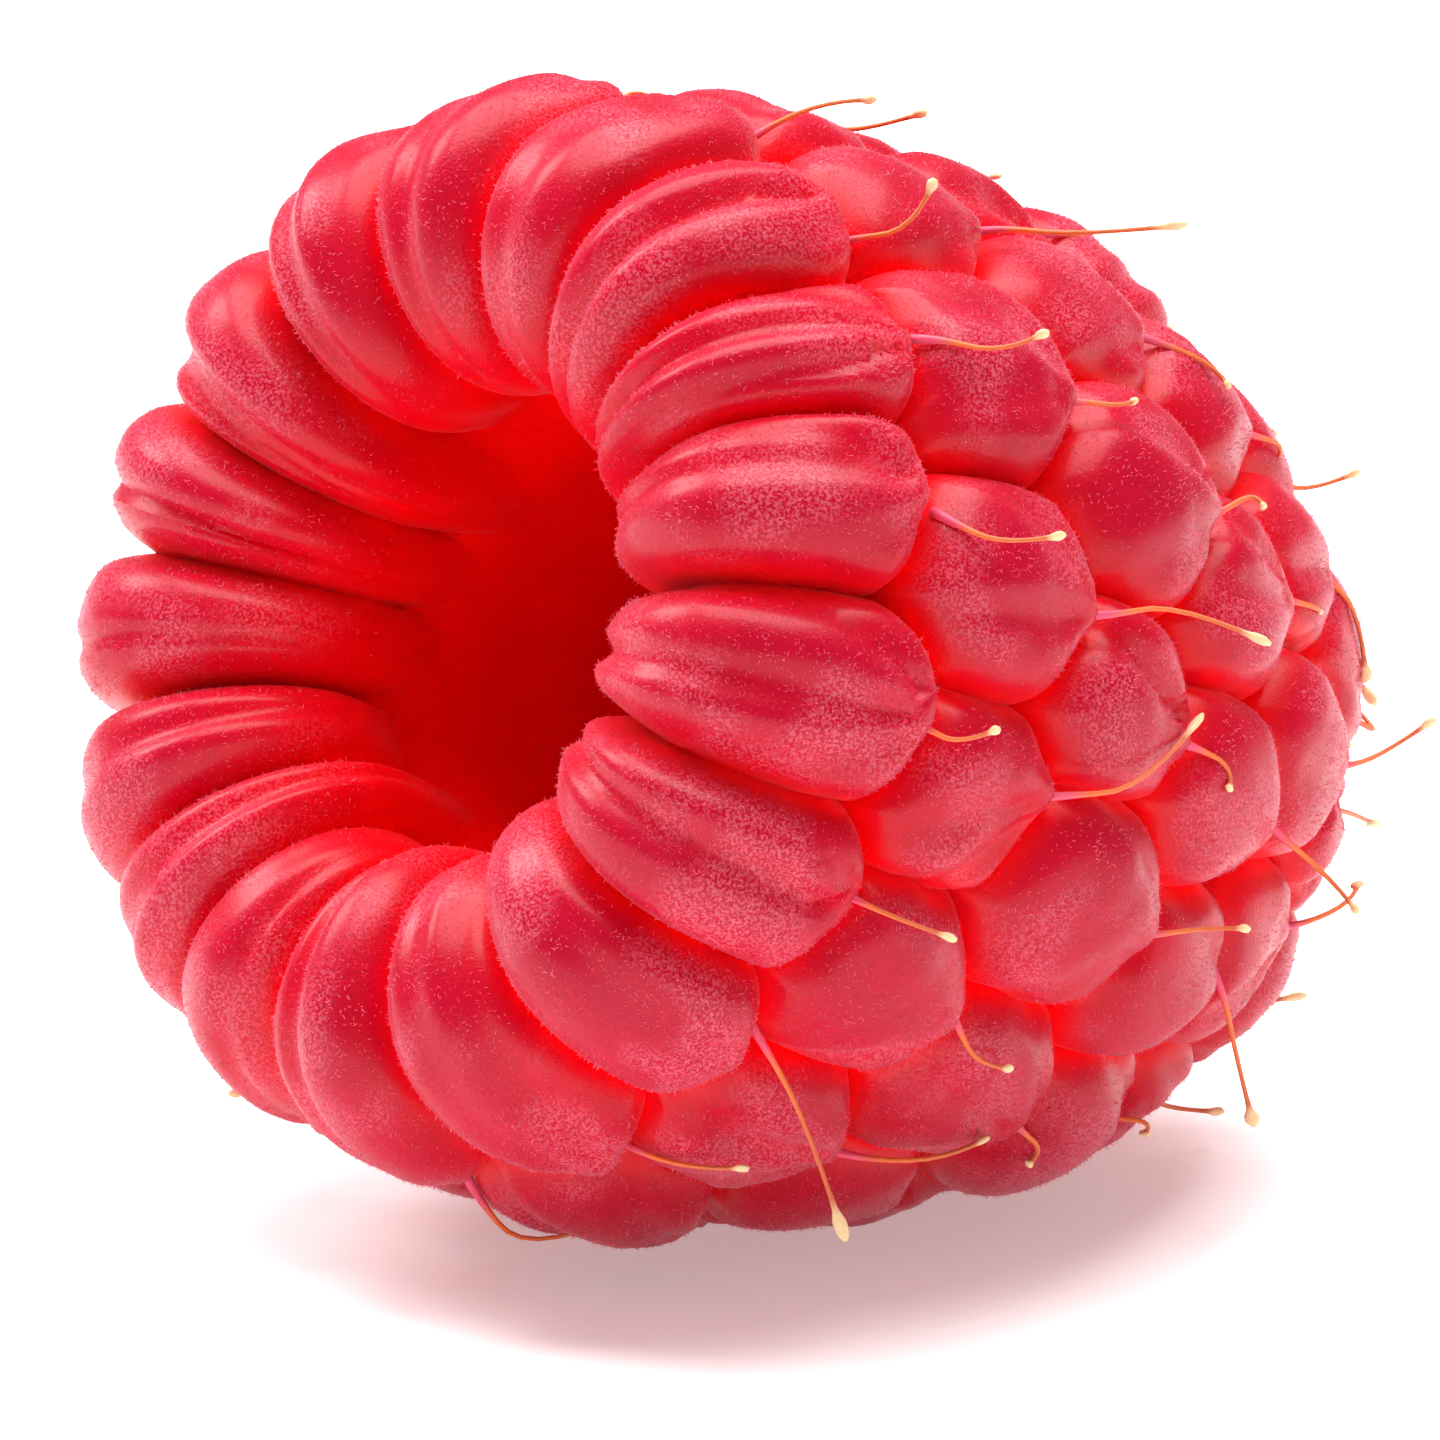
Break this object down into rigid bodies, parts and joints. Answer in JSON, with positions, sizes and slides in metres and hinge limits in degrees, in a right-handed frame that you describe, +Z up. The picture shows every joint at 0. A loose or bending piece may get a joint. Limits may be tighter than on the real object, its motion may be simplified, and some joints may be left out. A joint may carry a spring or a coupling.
{
  "type": "raspberry",
  "caption": "Ripe raspberry lying on its side: plump drupelets grown together round an open cup, with thin withered styles.",
  "frame": {"origin": "on the floor, under the middle of the fruit's bounds as it lies on its side", "axes": "+X from the open cup towards the tip, along the floor; +Z up; +Y to the left as seen from the cup"},
  "size_m": [0.0235, 0.0211, 0.0206],
  "materials": {
    "raspberry_flesh": "soft satin, translucent ripe flesh with fine pale hairs"
  },
  "bodies": {
    "root": {"raspberry": "raspberry_flesh"}
  },
  "joints": []
}
